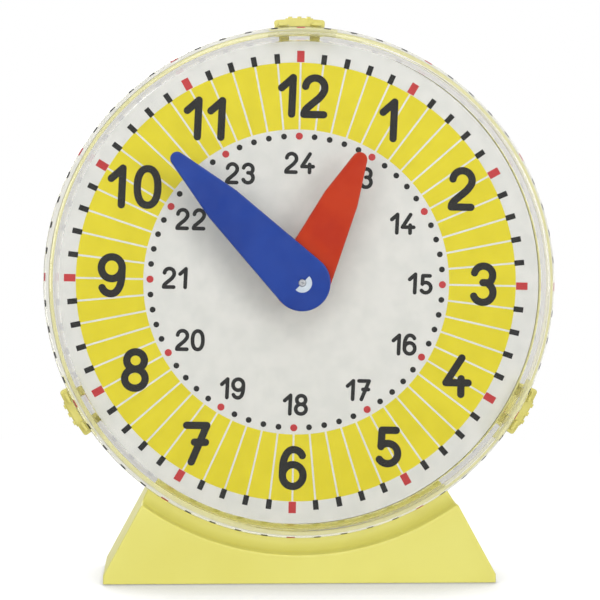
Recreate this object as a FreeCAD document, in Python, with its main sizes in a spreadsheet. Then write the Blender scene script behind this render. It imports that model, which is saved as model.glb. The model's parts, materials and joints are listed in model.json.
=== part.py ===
import FreeCAD, Part
import ast
import math
import os
import re

import Sketcher

# A geared teaching clock. A round case with a clear front stands in the saddle of a low hollow base.
# The two hands sit outside the cover and are joined by a 12 to 1 gear train behind the dial.
# The clock's axis lies along Y and its face looks towards -Y. Up is +Z. The origin is on the table,
# under the middle of the whole depth. Radii and heights of the case are taken from the clock's axis.

Vector = FreeCAD.Vector
Rotation = FreeCAD.Rotation
Placement = FreeCAD.Placement
UP = Vector(0, 0, 1)
BACKWARD = Vector(0, 1, 0)

SIZES = {
    # Where the clock stands
    "axis_height": 183.0,
    "depth_shift": 10.9,
    # How far the features of one piece run into each other
    "overlap": 0.6,
    # Clear front cover: a flat window, a thick bead round it that slopes behind the window's edge,
    # a front edge rounded to a quarter of an ellipse, and a skirt over the shell
    "rim_radius": 155.6,
    "cover_front": -33.0,
    "cover_thick": 2.0,
    "rim_round": 6.1,
    "rim_depth": 8.4,
    "bead_back": -25.9,
    "slope_inner": 145.6,
    "slope_outer": 149.6,
    "slope_back": -27.0,
    "skirt_outer": 154.6,
    "skirt_inner": 152.9,
    "skirt_back": -15.0,
    # Back shell, with a ledge round the dial and three tabs that the catches lock into
    "wall_outer": 152.3,
    "wall_inner": 150.2,
    "wall_front": -16.4,
    "ledge_inner": 149.3,
    "ledge_thick": 2.0,
    "tab_front": -25.6,
    "tab_inner": 151.4,
    "back_face": 14.0,
    "back_thick": 2.2,
    "back_round": 8.0,
    "rib_inner": 138.0,
    "rib_thick": 2.4,
    # Dial tray and the printed card that lies in it
    "tray_radius": 149.0,
    "tray_floor": -15.4,
    "tray_back": -13.6,
    "dial_hole": 9.5,
    "card_radius": 148.9,
    "card_thick": 0.6,
    # Slots and catches round the rim
    "slot_front": -24.3,
    "slot_back": -20.1,
    "prong_front": -24.0,
    "prong_back": -20.4,
    "prong_inner": 151.2,
    "catch_inner": 155.9,
    "catch_outer": 160.2,
    "catch_front": -25.3,
    "catch_back": -16.4,
    "grip_pad": 161.0,
    "rib_tip": 161.9,
    "rib_inset": 0.8,
    "lug_outer": 157.5,
    "lug_front": -29.4,
    "grip_end_round": 1.8,
    # Hands
    "hub_radius": 17.0,
    "hand_thick": 3.0,
    "hand_edge": 0.9,
    "minute_front": -40.8,
    "minute_kink": 66.9,
    "minute_kink_half": 11.5,
    "minute_tip": 105.0,
    "minute_tip_radius": 4.2,
    "hour_front": -37.2,
    "hour_kink": 55.8,
    "hour_kink_half": 10.7,
    "hour_tip": 81.8,
    "hour_tip_radius": 4.5,
    "washer_thick": 0.6,
    "washer_radius": 12.0,
    # Nested arbors: fixed steel post, minute cannon, hour pipe, bush
    "post_radius": 2.3,
    "post_front": -40.4,
    "post_flange": 5.0,
    "post_flange_thick": 0.8,
    "post_tip_round": 0.6,
    "centre_mark_radius": 0.7,
    "spring_radius": 4.7,
    "spring_thick": 0.35,
    "post_back": 5.0,
    "cannon_bore": 2.36,
    "cannon_radius": 6.0,
    "cannon_back": -3.2,
    "key_radius": 5.8,
    "key_front": -40.6,
    "pipe_bore": 6.06,
    "pipe_radius": 8.0,
    "pipe_front": -37.0,
    "pipe_flange": 9.4,
    "pipe_flange_thick": 0.6,
    "bush_bore": 8.06,
    "bush_radius": 10.5,
    "bush_flange": 12.5,
    "bush_front": -33.6,
    "bush_back": -29.4,
    # Gear train
    "tooth_module": 1.25,
    "gear_centres": 37.5,
    "front_gears_front": -12.2,
    "front_gears_back": -8.2,
    "rear_gears_front": -7.3,
    "rear_gears_back": -3.4,
    "wheel_hole_radius": 4.5,
    "wheel_hole_ring": 17.5,
    "hour_hole_radius": 5.0,
    "hour_hole_ring": 18.5,
    "stud_radius": 2.0,
    "stud_bore": 2.06,
    "stud_front": -13.3,
    "stud_shoulder": 1.6,
    "rivet_radius": 3.2,
    "rivet_thick": 1.0,
    "clip_front": -12.8,
    "clip_thick": 0.4,
    "clip_groove": 1.5,
    "clip_radius": 4.2,
    # Gear plate and its fixings
    "plate_front": -1.6,
    "plate_thick": 2.5,
    "plate_half_width": 40.0,
    "plate_top": 34.0,
    "plate_bottom": -74.0,
    "plate_corner": 8.0,
    "fixing_side": 33.0,
    "fixing_top": 27.0,
    "fixing_bottom": -67.0,
    "boss_radius": 4.5,
    "pilot_radius": 1.6,
    "pilot_depth": 8.0,
    "nut_half_flats": 3.5,
    "nut_thick": 3.2,
    # Small and large screws
    "screw_radius": 1.5,
    "screw_hole": 1.7,
    "screw_head": 2.9,
    "screw_head_thick": 1.6,
    "screw_length": 9.0,
    "saddle_screw_radius": 2.0,
    "saddle_screw_hole": 2.2,
    "saddle_screw_head": 3.6,
    "saddle_screw_head_thick": 2.4,
    "saddle_screw_length": 14.0,
    "saddle_screw_y": 3.0,
    "saddle_boss_inner": 139.0,
    "saddle_washer_radius": 5.0,
    "saddle_washer_thick": 1.0,
    # Stand
    "stand_front": -29.0,
    "stand_back": 19.0,
    "stand_bottom": 0.8,
    "stand_half_width": 119.3,
    "stand_shoulder": 5.6,
    "stand_top": 64.0,
    "stand_top_half_width": 87.6,
    "stand_wall": 2.4,
    "stand_edge": 1.2,
    "saddle_radius": 152.6,
    "cove_radius": 165.2,
    "cove_back": -13.0,
    "cove_round": 9.0,
    "stand_boss_side": 96.0,
    "stand_boss_front": -22.4,
    "stand_boss_back": 12.4,
    "stand_boss_top": 24.0,
    "stand_web": 2.4,
    "lid_thick": 2.4,
    "lid_gap": 0.3,
    "screw_recess": 1.7,
    "screw_seat_play": 0.3,
    "pad_radius": 8.0,
    "pad_thick": 1.6,
    "pad_recess": 0.8,
    "pad_play": 0.2,
    "pad_edge": 0.4,
    "pad_side": 82.0,
    "pad_front": -17.0,
    "pad_back": 7.0,
}

MINUTE_ANGLE = -45.2
HOUR_ANGLE = 25.4
CARD_TURN = 1.1
MINUTE_PINION_TEETH = 15
MINUTE_WHEEL_TEETH = 45
HOUR_PINION_TEETH = 12
HOUR_WHEEL_TEETH = 48
PRESSURE_ANGLE = 20.0
ADDENDUM = 0.75
DEDENDUM = 1.15
BACKLASH = 0.16
FLANK_STEPS = 5
WHEEL_HOLES = 5
HOUR_WHEEL_HOLES = 6
CLIP_SWEEP = 290.0
CATCH_COUNT = 3
CATCH_SPAN = 11.2
PRONG_SPREAD = 3.6
PRONG_SPAN = 2.3
CATCH_TRAVEL = 1.6
SLOT_PLAY = 0.25
TAB_SPAN = 15.5
RIB_STEP = 2.0
RIB_SPAN = 0.9
GRIP_PAD_SPAN = 6.0
TRAY_RIBS = 6
SADDLE_SCREW_ANGLE = 13.5
# A cross recess: its reach and half width as shares of the head's radius, and its depth of the head's
CROSS_REACH = 0.6
CROSS_HALF_WIDTH = 0.13
CROSS_DEPTH = 0.6
# Corner of a hexagon, and the height of its upright sides' ends, as shares of half its width
HEXAGON_CORNER = 1.1547
HEXAGON_SIDE = 0.57735
# A point just inside the middle of a quarter round, in from each side as a share of its radius
INSIDE_ROUND = 0.39

doc = FreeCAD.newDocument("TeachingClock")
sheet = doc.addObject("Spreadsheet::Sheet", "sizes")
for row, (alias, value) in enumerate(SIZES.items(), start=1):
    sheet.set(f"A{row}", alias)
    sheet.set(f"B{row}", str(value))
    sheet.setAlias(f"B{row}", alias)
doc.recompute()

nodes = []


# Formulas over the driving dimensions


def number(formula):
    """Works out a formula of sums, differences and products over the driving dimensions."""

    def walk(term):
        if isinstance(term, ast.BinOp):
            left = walk(term.left)
            right = walk(term.right)
            if isinstance(term.op, ast.Add):
                return left + right
            if isinstance(term.op, ast.Sub):
                return left - right
            if isinstance(term.op, ast.Mult):
                return left * right
            return left / right
        if isinstance(term, ast.UnaryOp):
            return -walk(term.operand)
        if isinstance(term, ast.Name):
            return SIZES[term.id]
        return float(term.value)

    return walk(ast.parse(str(formula)).body[0].value)


def cells(formula):
    """The same formula with each dimension read from its cell."""
    return re.sub(r"[a-z_]+", lambda word: "sizes." + word[0], str(formula))


def bind(thing, name, formula):
    thing.setExpression(name, cells(formula))


# Sketches and features


def new_body(label, height="axis_height"):
    """A body that stands in the clock's frame: on its axis, or on the table when height is 0."""
    body = doc.addObject("PartDesign::Body", label)
    body.Label = label
    bind(body, "Placement.Base.y", "depth_shift")
    bind(body, "Placement.Base.z", height)
    nodes.append(body)
    return body


def origin_part(body, role):
    return next(item for item in body.Origin.OriginFeatures if item.Role == role)


def new_sketch(body, name, plane):
    sketch = body.newObject("Sketcher::SketchObject", name)
    sketch.AttachmentSupport = [(origin_part(body, plane), "")]
    sketch.MapMode = "FlatFace"
    return sketch


def front_sketch(body, name, depth):
    """A sketch seen from the front, with x to the right and y up, at a depth along Y."""
    sketch = new_sketch(body, name, "XZ_Plane")
    bind(sketch, "AttachmentOffset.Base.z", f"-({depth})")
    return sketch


def place_point(sketch, geometry, end, corner):
    """Ties one end of a line or the middle of a circle to a corner given as two formulas."""
    for kind, formula in zip(("DistanceX", "DistanceY"), corner):
        index = sketch.addConstraint(Sketcher.Constraint(kind, geometry, end, number(formula)))
        bind(sketch, f"Constraints[{index}]", formula)


def point(corner):
    return Vector(number(corner[0]), number(corner[1]), 0)


def draw_polygon(sketch, corners, rounded=None):
    """Straight sides between corners. The side after the corner rounded is a quarter of an ellipse."""
    first = sketch.GeometryCount
    count = len(corners)
    for step, (start, end) in enumerate(zip(corners, corners[1:] + corners[:1])):
        if step == rounded:
            centre = (start[0], end[1])
            ellipse = Part.Ellipse(point(start), point(end), point(centre))
            sketch.addGeometry(Part.ArcOfEllipse(ellipse, 0, math.pi / 2))
            place_point(sketch, first + step, 3, centre)
        else:
            sketch.addGeometry(Part.LineSegment(point(start), point(end)))
    for step, corner in enumerate(corners):
        following = first + (step + 1) % count
        sketch.addConstraint(Sketcher.Constraint("Coincident", first + step, 2, following, 1))
        place_point(sketch, first + step, 1, corner)


def draw_circle(sketch, radius, centre=("0", "0")):
    index = sketch.addGeometry(Part.Circle(point(centre), UP, number(radius)))
    place_point(sketch, index, 3, centre)
    fixed = sketch.addConstraint(Sketcher.Constraint("Radius", index, number(radius)))
    bind(sketch, f"Constraints[{fixed}]", radius)


def turn_plane(sketch, angle):
    """Turns a sketch on the XY plane about the clock's axis, anticlockwise seen from the front."""
    sketch.AttachmentOffset = Placement(Vector(0, 0, 0), Rotation(Vector(0, 1, 0), -angle))


def revolve(body, name, corners, angle=360.0, middle=0.0, rounded=None):
    """Turns a section of (radius, depth) corners about the clock's axis, or through a sector of it."""
    sketch = new_sketch(body, name + "_section", "XY_Plane")
    draw_polygon(sketch, corners, rounded)
    turn_plane(sketch, middle)
    feature = body.newObject("PartDesign::Revolution", name)
    feature.Profile = sketch
    feature.ReferenceAxis = (sketch, ["V_Axis"])
    feature.Angle = angle
    feature.Midplane = angle < 360.0
    doc.recompute()
    return feature


def cut_ring(body, name, corners, angle=360.0, middle=0.0):
    """Cuts a section turned about the clock's axis, and checks that it took material away."""
    before = body.Shape.Volume
    sketch = new_sketch(body, name + "_section", "XY_Plane")
    draw_polygon(sketch, corners)
    turn_plane(sketch, middle)
    feature = body.newObject("PartDesign::Groove", name)
    feature.Profile = sketch
    feature.ReferenceAxis = (sketch, ["V_Axis"])
    feature.Angle = angle
    feature.Midplane = angle < 360.0
    doc.recompute()
    check_cut(name, before, feature.Shape.Volume)
    return feature


def check_cut(name, before, after):
    if not after < before - 1e-3:
        raise RuntimeError(f"{name} cut nothing")


def pad(body, sketch, name, length):
    """Raises a front sketch towards the front, or a plan sketch upwards."""
    feature = body.newObject("PartDesign::Pad", name)
    feature.Profile = sketch
    bind(feature, "Length", length)
    doc.recompute()
    return feature


def pocket(body, sketch, name, length):
    """Cuts a front sketch backwards, or a plan sketch downwards."""
    before = body.Shape.Volume
    feature = body.newObject("PartDesign::Pocket", name)
    feature.Profile = sketch
    bind(feature, "Length", length)
    doc.recompute()
    check_cut(name, before, feature.Shape.Volume)
    return feature


def through(body, sketch, name, length):
    """Cuts a sketch both ways."""
    before = body.Shape.Volume
    feature = body.newObject("PartDesign::Pocket", name)
    feature.Profile = sketch
    feature.Midplane = True
    bind(feature, "Length", length)
    doc.recompute()
    check_cut(name, before, feature.Shape.Volume)
    return feature


def round_turn(body, features, name, count):
    """Repeats features round the clock's axis."""
    feature = body.newObject("PartDesign::PolarPattern", name)
    feature.Originals = features
    feature.Axis = (origin_part(body, "Y_Axis"), [""])
    feature.Angle = 360
    feature.Occurrences = count
    body.Tip = feature
    doc.recompute()
    return feature


def soften(body, name, edges, radius):
    """Rounds edges of the body's last feature."""
    base = body.Tip
    feature = body.newObject("PartDesign::Fillet", name)
    feature.Base = (base, edges)
    bind(feature, "Radius", radius)
    doc.recompute()
    return feature


def ring_edges(shape, radius, depth):
    """Names of the circles about the clock's axis with this radius at this depth."""
    found = []
    for index, edge in enumerate(shape.Edges, start=1):
        curve = edge.Curve
        if not isinstance(curve, Part.Circle):
            continue
        off_axis = math.hypot(curve.Center.x, curve.Center.z)
        same_radius = abs(curve.Radius - number(radius)) < 0.01
        if off_axis < 0.01 and same_radius and abs(curve.Center.y - number(depth)) < 0.01:
            found.append(f"Edge{index}")
    return found


def edges_where(shape, test):
    """Names of the edges all of whose sample points pass a test."""
    found = []
    for index, edge in enumerate(shape.Edges, start=1):
        if all(test(sample) for sample in edge.discretize(5)):
            found.append(f"Edge{index}")
    return found


def ring_body(label, corners):
    """A piece turned about the clock's axis."""
    body = new_body(label)
    revolve(body, label + "_turned", corners)
    return body


def node_from_shape(label, shape):
    piece = doc.addObject("Part::Feature", label)
    piece.Label = label
    piece.Shape = shape
    nodes.append(piece)
    return piece


def hidden_body(label, height="0"):
    """A body that only serves to make other pieces, and has no file of its own."""
    body = new_body(label, height)
    nodes.remove(body)
    body.setExpression("Placement.Base.y", None)
    body.Placement = Placement()
    return body


# Case


def slot_cuts(body, inner, outer):
    """Two slots for each catch's prongs, long enough for the prongs to slide out of lock."""
    corners = [(inner, "slot_front"), (outer, "slot_front"), (outer, "slot_back"), (inner, "slot_back")]
    span = PRONG_SPAN + CATCH_TRAVEL + 2 * SLOT_PLAY
    shift = -CATCH_TRAVEL / 2
    cuts = []
    for side, name in ((-1, "near_slot"), (1, "far_slot")):
        middle = 90 + side * PRONG_SPREAD + shift
        cuts.append(cut_ring(body, name, corners, span, middle))
    round_turn(body, cuts, "slots", CATCH_COUNT)


def radial_sketch(body, name, radius, angle):
    """A sketch square to a radius of the case, in the middle of its saddle screw."""
    sketch = new_sketch(body, name, "YZ_Plane")
    turn = Rotation(Vector(1, 0, 0), -angle)
    away = turn.multVec(Vector(0, 0, number(radius)))
    sketch.AttachmentOffset = Placement(away, turn)
    return sketch


def make_back_shell():
    body = new_body("back_shell")
    revolve(body, "bowl", [
        ("0", "back_face"),
        ("wall_outer", "back_face"),
        ("wall_outer", "wall_front"),
        ("ledge_inner", "wall_front"),
        ("ledge_inner", "wall_front + ledge_thick"),
        ("wall_inner", "wall_front + ledge_thick"),
        ("wall_inner", "back_face - back_thick"),
        ("0", "back_face - back_thick"),
    ])
    soften(body, "back_corner", ring_edges(body.Tip.Shape, "wall_outer", "back_face"), "back_round")
    inside = ring_edges(body.Tip.Shape, "wall_inner", "back_face - back_thick")
    soften(body, "inside_corner", inside, "back_round - back_thick")

    rib = new_sketch(body, "rib_outline", "XY_Plane")
    draw_polygon(rib, [
        ("rib_inner", "tray_back"),
        ("wall_inner + overlap", "tray_back"),
        ("wall_inner + overlap", "back_face - back_round"),
        (f"wall_outer - back_round * {INSIDE_ROUND}", f"back_face - back_round * {INSIDE_ROUND}"),
        ("wall_outer - back_round", "back_face - back_thick / 2"),
        ("rib_inner", "back_face - back_thick / 2"),
    ])
    rib_pad = pad(body, rib, "tray_rib", "rib_thick")
    rib_pad.Midplane = True
    round_turn(body, [rib_pad], "tray_ribs", TRAY_RIBS)

    posts = front_sketch(body, "boss_outline", "back_face - back_thick / 2")
    holes = front_sketch(body, "pilot_outline", "plate_front + plate_thick")
    for side in ("fixing_side", "-fixing_side"):
        for height in ("fixing_top", "fixing_bottom"):
            draw_circle(posts, "boss_radius", (side, height))
            draw_circle(holes, "pilot_radius", (side, height))
    pad(body, posts, "plate_bosses", "back_face - back_thick / 2 - plate_front - plate_thick")
    pocket(body, holes, "pilot_holes", "pilot_depth")

    for side, name in ((-1, "left"), (1, "right")):
        angle = -90 + side * SADDLE_SCREW_ANGLE
        boss = radial_sketch(body, name + "_saddle_boss", "saddle_boss_inner", angle)
        draw_circle(boss, "boss_radius", ("saddle_screw_y", "0"))
        pad(body, boss, name + "_saddle_boss_pad", "wall_inner + overlap - saddle_boss_inner")
        hole = radial_sketch(body, name + "_saddle_hole", "saddle_boss_inner", angle)
        draw_circle(hole, "saddle_screw_hole", ("saddle_screw_y", "0"))
        through(body, hole, name + "_saddle_hole_cut", "saddle_screw_length * 2")

    tab = revolve(body, "catch_tab", [
        ("tab_inner", "tab_front"),
        ("wall_outer", "tab_front"),
        ("wall_outer", "wall_front + overlap"),
        ("tab_inner", "wall_front + overlap"),
    ], TAB_SPAN, 90 - CATCH_TRAVEL / 2)
    round_turn(body, [tab], "catch_tabs", CATCH_COUNT)
    slot_cuts(body, "wall_inner - overlap", "wall_outer + overlap")


def make_front_cover():
    body = new_body("clear_front_cover")
    revolve(body, "turned_cover", [
        ("bush_radius", "cover_front"),
        ("rim_radius - rim_round", "cover_front"),
        ("rim_radius", "cover_front + rim_depth"),
        ("skirt_outer", "cover_front + rim_depth"),
        ("skirt_outer", "skirt_back"),
        ("skirt_inner", "skirt_back"),
        ("skirt_inner", "bead_back"),
        ("slope_outer", "bead_back"),
        ("slope_outer", "slope_back"),
        ("slope_inner", "cover_front + cover_thick"),
        ("bush_radius", "cover_front + cover_thick"),
    ], rounded=1)
    slot_cuts(body, "skirt_inner - overlap", "skirt_outer + overlap")


def make_dial_tray():
    ring_body("dial_tray", [
        ("dial_hole", "tray_floor"),
        ("tray_radius", "tray_floor"),
        ("tray_radius", "tray_back"),
        ("dial_hole", "tray_back"),
    ])


def make_dial_card():
    body = ring_body("dial_card", [
        ("dial_hole", "tray_floor - card_thick"),
        ("card_radius", "tray_floor - card_thick"),
        ("card_radius", "tray_floor"),
        ("dial_hole", "tray_floor"),
    ])
    body.Placement.Rotation = Rotation(BACKWARD, CARD_TURN)


def make_catch(label, around):
    """A finger catch on the rim, with two prongs and, in front of each, a lug beside the rim.

    It slides round the rim to draw its prongs out of lock.
    """
    body = new_body(label)
    block = [
        ("catch_inner", "catch_front"),
        ("catch_outer", "catch_front"),
        ("catch_outer", "catch_back"),
        ("catch_inner", "catch_back"),
    ]
    revolve(body, "grip", block, CATCH_SPAN)
    reach = CATCH_SPAN / 2
    ends = edges_where(body.Tip.Shape, lambda p: (
        math.hypot(p.x, p.z) > number("catch_outer") - 0.01
        and abs(math.degrees(math.atan2(p.z, p.x))) > reach - 0.01
    ))
    soften(body, "grip_ends", ends, "grip_end_round")
    prong = [
        ("prong_inner", "prong_front"),
        ("catch_inner + overlap", "prong_front"),
        ("catch_inner + overlap", "prong_back"),
        ("prong_inner", "prong_back"),
    ]
    lug = [
        ("catch_inner", "lug_front"),
        ("lug_outer", "lug_front"),
        ("lug_outer", "catch_front + overlap"),
        ("catch_inner", "catch_front + overlap"),
    ]
    for side, name in ((-1, "near"), (1, "far")):
        revolve(body, name + "_prong", prong, PRONG_SPAN, side * PRONG_SPREAD)
        revolve(body, name + "_lug", lug, PRONG_SPAN, side * PRONG_SPREAD)
    grip = [
        ("catch_outer - overlap", "catch_front + rib_inset"),
        ("grip_pad", "catch_front + rib_inset"),
        ("grip_pad", "catch_back - rib_inset"),
        ("catch_outer - overlap", "catch_back - rib_inset"),
    ]
    revolve(body, "grip_pad", grip, GRIP_PAD_SPAN)
    rib = [
        ("catch_outer - overlap", "catch_front + rib_inset"),
        ("rib_tip", "catch_front + rib_inset"),
        ("rib_tip", "catch_back - rib_inset"),
        ("catch_outer - overlap", "catch_back - rib_inset"),
    ]
    for step in (-1, 0, 1):
        revolve(body, f"finger_rib_{step + 2}", rib, RIB_SPAN, step * RIB_STEP)
    body.Placement.Rotation = Rotation(BACKWARD, -around)


# Hands and arbors


def tangent_point(corner, radius, side):
    """Where a line from a corner touches a circle about the origin, on the side asked for."""
    distance = corner.Length
    lean = math.acos(radius / distance)
    angle = math.atan2(corner.y, corner.x) + side * lean
    return Vector(radius * math.cos(angle), radius * math.sin(angle), 0)


def draw_hand(sketch, kink, half_width, tip, tip_radius):
    """Hand outline, pointing up: a round hub, straight sides to a kink, then sides to a round tip."""
    hub = number("hub_radius")
    nose = Vector(0, number(tip), 0)
    left_kink = Vector(-number(half_width), number(kink), 0)
    right_kink = Vector(number(half_width), number(kink), 0)
    left_hub = tangent_point(left_kink, hub, 1)
    right_hub = tangent_point(right_kink, hub, -1)
    left_nose = nose + tangent_point(left_kink - nose, number(tip_radius), -1)
    right_nose = nose + tangent_point(right_kink - nose, number(tip_radius), 1)
    start = math.atan2(left_hub.y, left_hub.x)
    end = math.atan2(right_hub.y, right_hub.x)
    hub_circle = Part.Circle(Vector(0, 0, 0), UP, hub)
    tip_circle = Part.Circle(nose, UP, number(tip_radius))
    right_turn = math.atan2(right_nose.y - nose.y, right_nose.x)
    left_turn = math.atan2(left_nose.y - nose.y, left_nose.x)
    geometry = [
        Part.ArcOfCircle(hub_circle, start, end + 2 * math.pi),
        Part.LineSegment(right_hub, right_kink),
        Part.LineSegment(right_kink, right_nose),
        Part.ArcOfCircle(tip_circle, right_turn, left_turn),
        Part.LineSegment(left_nose, left_kink),
        Part.LineSegment(left_kink, left_hub),
    ]
    for item in geometry:
        sketch.addGeometry(item)
    rule = Sketcher.Constraint
    place_point(sketch, 0, 3, ("0", "0"))
    place_point(sketch, 3, 3, ("0", tip))
    place_point(sketch, 1, 2, (half_width, kink))
    place_point(sketch, 5, 1, (f"-{half_width}", kink))
    for index, radius in ((0, "hub_radius"), (3, tip_radius)):
        fixed = sketch.addConstraint(rule("Radius", index, number(radius)))
        bind(sketch, f"Constraints[{fixed}]", radius)
    sketch.addConstraint(rule("Coincident", 1, 2, 2, 1))
    sketch.addConstraint(rule("Coincident", 4, 2, 5, 1))
    sketch.addConstraint(rule("Tangent", 0, 2, 1, 1))
    sketch.addConstraint(rule("Tangent", 2, 2, 3, 1))
    sketch.addConstraint(rule("Tangent", 3, 2, 4, 1))
    sketch.addConstraint(rule("Tangent", 5, 2, 0, 1))


def draw_half_disc(sketch, radius):
    """The lower half of a disc, with its flat along the x axis."""
    size = number(radius)
    circle = Part.Circle(Vector(0, 0, 0), UP, size)
    arc = sketch.addGeometry(Part.ArcOfCircle(circle, math.pi, 2 * math.pi))
    flat = sketch.addGeometry(Part.LineSegment(Vector(size, 0, 0), Vector(-size, 0, 0)))
    rule = Sketcher.Constraint
    place_point(sketch, arc, 3, ("0", "0"))
    fixed = sketch.addConstraint(rule("Radius", arc, size))
    bind(sketch, f"Constraints[{fixed}]", radius)
    sketch.addConstraint(rule("Coincident", arc, 2, flat, 1))
    sketch.addConstraint(rule("Coincident", flat, 2, arc, 1))
    sketch.addConstraint(rule("PointOnObject", flat, 1, -1))
    sketch.addConstraint(rule("PointOnObject", flat, 2, -1))


def make_hand(label, front, kink, half_width, tip, tip_radius):
    body = new_body(label)
    outline = front_sketch(body, "outline", f"{front} + hand_thick")
    draw_hand(outline, kink, half_width, tip, tip_radius)
    pad(body, outline, "blade", "hand_thick")
    face = number(front)
    edges = edges_where(body.Tip.Shape, lambda p: abs(p.y - face) < 0.01)
    soften(body, "soft_edge", edges, "hand_edge")
    return body


def make_minute_hand():
    body = make_hand(
        "minute_hand", "minute_front", "minute_kink", "minute_kink_half", "minute_tip", "minute_tip_radius"
    )
    key = front_sketch(body, "key_outline", "minute_front")
    draw_half_disc(key, "key_radius")
    pocket(body, key, "key_hole", "hand_thick")
    post = front_sketch(body, "post_outline", "minute_front")
    draw_circle(post, "cannon_bore")
    pocket(body, post, "post_hole", "hand_thick")
    body.Placement.Rotation = Rotation(BACKWARD, MINUTE_ANGLE)


def make_hour_hand():
    body = make_hand(
        "hour_hand", "hour_front", "hour_kink", "hour_kink_half", "hour_tip", "hour_tip_radius"
    )
    hole = front_sketch(body, "pipe_outline", "hour_front")
    draw_circle(hole, "pipe_radius")
    pocket(body, hole, "pipe_hole", "hand_thick")
    body.Placement.Rotation = Rotation(BACKWARD, HOUR_ANGLE)


def make_minute_cannon():
    """White arbor of the minute hand, with a half-round key that shows in the hand's hub."""
    body = ring_body("minute_cannon", [
        ("cannon_bore", "minute_front + hand_thick"),
        ("cannon_radius", "minute_front + hand_thick"),
        ("cannon_radius", "cannon_back"),
        ("cannon_bore", "cannon_back"),
    ])
    key = front_sketch(body, "key_outline", "minute_front + hand_thick + overlap")
    draw_half_disc(key, "key_radius")
    pad(body, key, "key", "minute_front + hand_thick + overlap - key_front")
    bore = front_sketch(body, "bore_outline", "key_front")
    draw_circle(bore, "cannon_bore")
    pocket(body, bore, "bore", "hand_thick * 2")
    body.Placement.Rotation = Rotation(BACKWARD, MINUTE_ANGLE)


def make_arbors():
    ring_body("hour_pipe", [
        ("pipe_bore", "pipe_front"),
        ("pipe_radius", "pipe_front"),
        ("pipe_radius", "front_gears_back"),
        ("pipe_flange", "front_gears_back"),
        ("pipe_flange", "front_gears_back + pipe_flange_thick"),
        ("pipe_bore", "front_gears_back + pipe_flange_thick"),
    ])
    ring_body("front_bush", [
        ("bush_bore", "bush_front"),
        ("bush_flange", "bush_front"),
        ("bush_flange", "cover_front"),
        ("bush_radius", "cover_front"),
        ("bush_radius", "bush_back"),
        ("bush_bore", "bush_back"),
    ])
    ring_body("hour_hand_washer", [
        ("bush_bore", "bush_front - washer_thick"),
        ("washer_radius", "bush_front - washer_thick"),
        ("washer_radius", "bush_front"),
        ("bush_bore", "bush_front"),
    ])
    ring_body("hand_spacer_washer", [
        ("pipe_bore", "hour_front - washer_thick"),
        ("washer_radius", "hour_front - washer_thick"),
        ("washer_radius", "hour_front"),
        ("pipe_bore", "hour_front"),
    ])
    post = ring_body("centre_post", [
        ("0", "post_front"),
        ("post_radius", "post_front"),
        ("post_radius", "plate_front - post_flange_thick"),
        ("post_flange", "plate_front - post_flange_thick"),
        ("post_flange", "plate_front"),
        ("post_radius", "plate_front"),
        ("post_radius", "post_back"),
        ("0", "post_back"),
    ])
    tip = ring_edges(post.Tip.Shape, "post_radius", "post_front")
    soften(post, "post_tip", tip, "post_tip_round")
    cut_ring(post, "centre_mark", [
        ("0", "post_front"),
        ("centre_mark_radius", "post_front"),
        ("0", "post_front + centre_mark_radius"),
    ])
    ring_body("friction_spring_washer", [
        ("cannon_bore", "cannon_back"),
        ("cannon_bore", "cannon_back + spring_thick"),
        ("spring_radius", "plate_front - post_flange_thick"),
        ("spring_radius", "plate_front - post_flange_thick - spring_thick"),
    ])


# Gear train


def involute_gear(teeth, bore, front, thickness):
    """Spur gear about Y with a tooth pointing up. Flanks are involutes through sampled points."""
    size = number("tooth_module")
    pitch = size * teeth / 2
    base = pitch * math.cos(math.radians(PRESSURE_ANGLE))
    tip = pitch + ADDENDUM * size
    root = pitch - DEDENDUM * size
    roll = math.tan(math.radians(PRESSURE_ANGLE)) - math.radians(PRESSURE_ANGLE)
    half_tooth = (math.pi * size / 2 - BACKLASH) / (2 * pitch)
    start = max(base, root)

    def flank_angle(radius):
        pressure = math.acos(min(1.0, base / radius))
        return half_tooth + roll - (math.tan(pressure) - pressure)

    def spot(radius, angle):
        return Vector(radius * math.sin(angle), front, radius * math.cos(angle))

    radii = [start + (tip - start) * step / FLANK_STEPS for step in range(FLANK_STEPS + 1)]
    pitch_angle = 2 * math.pi / teeth
    edges = []
    for tooth in range(teeth):
        middle = tooth * pitch_angle
        rising = [spot(radius, middle - flank_angle(radius)) for radius in radii]
        falling = [spot(radius, middle + flank_angle(radius)) for radius in reversed(radii)]
        root_out = spot(root, middle + flank_angle(start))
        root_next = spot(root, middle + pitch_angle - flank_angle(start))
        if start > root + 1e-6:
            edges.append(Part.makeLine(spot(root, middle - flank_angle(start)), rising[0]))
        for points in (rising, falling):
            curve = Part.BSplineCurve()
            curve.interpolate(points)
            edges.append(curve.toShape())
            if points is rising:
                edges.append(Part.Arc(rising[-1], spot(tip, middle), falling[0]).toShape())
        if start > root + 1e-6:
            edges.append(Part.makeLine(falling[-1], root_out))
        edges.append(Part.Arc(root_out, spot(root, middle + pitch_angle / 2), root_next).toShape())
    wire = Part.Wire(Part.__sortEdges__(edges))
    solid = Part.Face(wire).extrude(Vector(0, thickness, 0))
    hole = Part.makeCylinder(bore, thickness + 2, Vector(0, front - 1, 0), BACKWARD)
    return solid.cut(hole)


def lightened(gear, count, radius, distance, front, thickness):
    """A gear with round holes through its web."""
    for step in range(count):
        angle = 2 * math.pi * (step + 0.5) / count
        middle = Vector(math.sin(angle), 0, math.cos(angle)) * number(distance)
        middle.y = front - 1
        gear = gear.cut(Part.makeCylinder(number(radius), thickness + 2, middle, BACKWARD))
    return gear


def place_gear(label, gear, turn, below=0.0):
    """Turns a gear about its own axis and sets it on the clock's axis, or below it."""
    piece = node_from_shape(label, gear)
    height = number("axis_height") - below
    piece.Placement = Placement(Vector(0, number("depth_shift"), height), Rotation(BACKWARD, turn))
    return piece


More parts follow.
